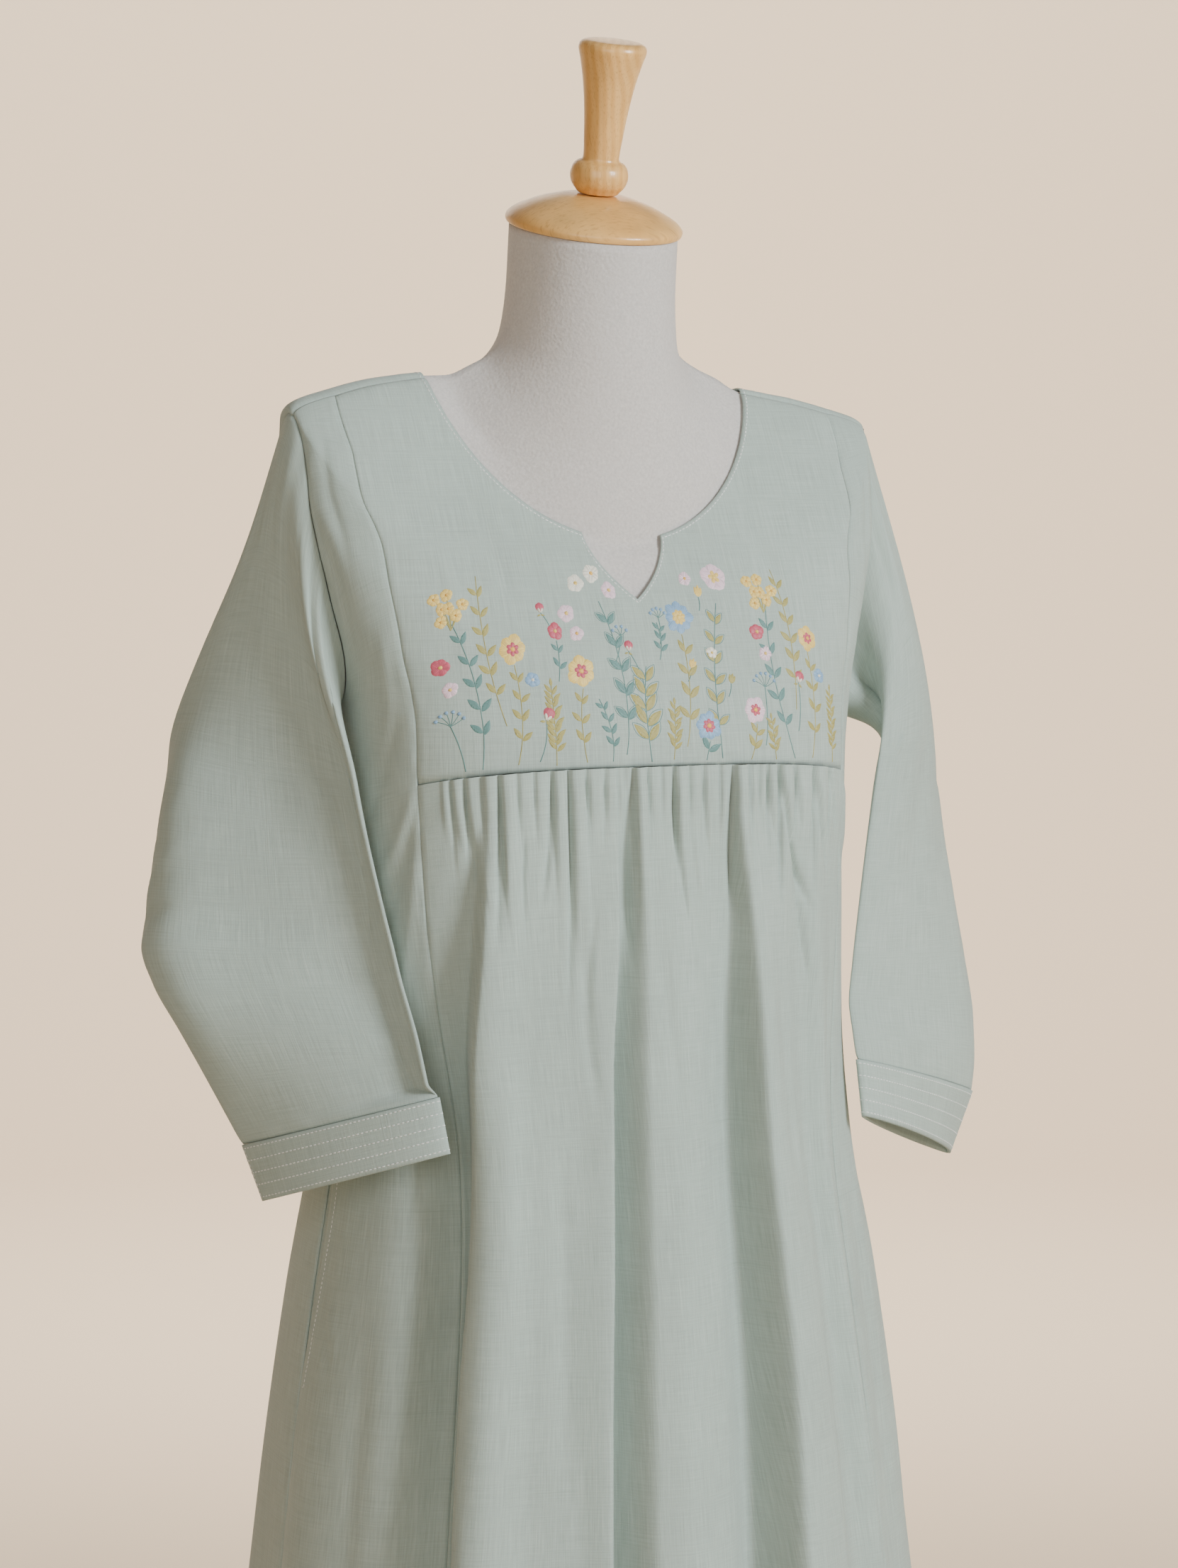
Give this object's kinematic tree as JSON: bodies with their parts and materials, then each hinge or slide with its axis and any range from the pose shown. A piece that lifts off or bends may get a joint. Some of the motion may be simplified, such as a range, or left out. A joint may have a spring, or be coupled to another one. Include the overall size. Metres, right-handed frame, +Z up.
{
  "type": "kurta tunic on a dress form",
  "caption": "Kurta tunic with a shaped yoke, gathered front, three-quarter sleeves and cuffs, worn by a limbless dress form on a pole",
  "frame": {"origin": "On the floor at the centre of the round base, under the pole", "axes": "+Z is up, -Y is the garment's front, +X is the wearer's left"},
  "size_m": [0.6065, 0.443, 1.6269],
  "materials": {
    "linen": "woven linen-cotton, matte",
    "jersey": "fine jersey, matte",
    "wood": "light honey wood, gloss varnish"
  },
  "bodies": {
    "root": {"front_yoke": "linen", "front_skirt": "linen", "side_front_left": "linen", "side_front_right": "linen", "back": "linen", "sleeve_right": "linen", "sleeve_left": "linen", "cuff_right": "linen", "cuff_left": "linen", "pocket_right": "linen", "form_torso": "jersey", "neck_cap": "wood", "finial": "wood", "pole": "wood", "base": "wood"}
  },
  "joints": []
}
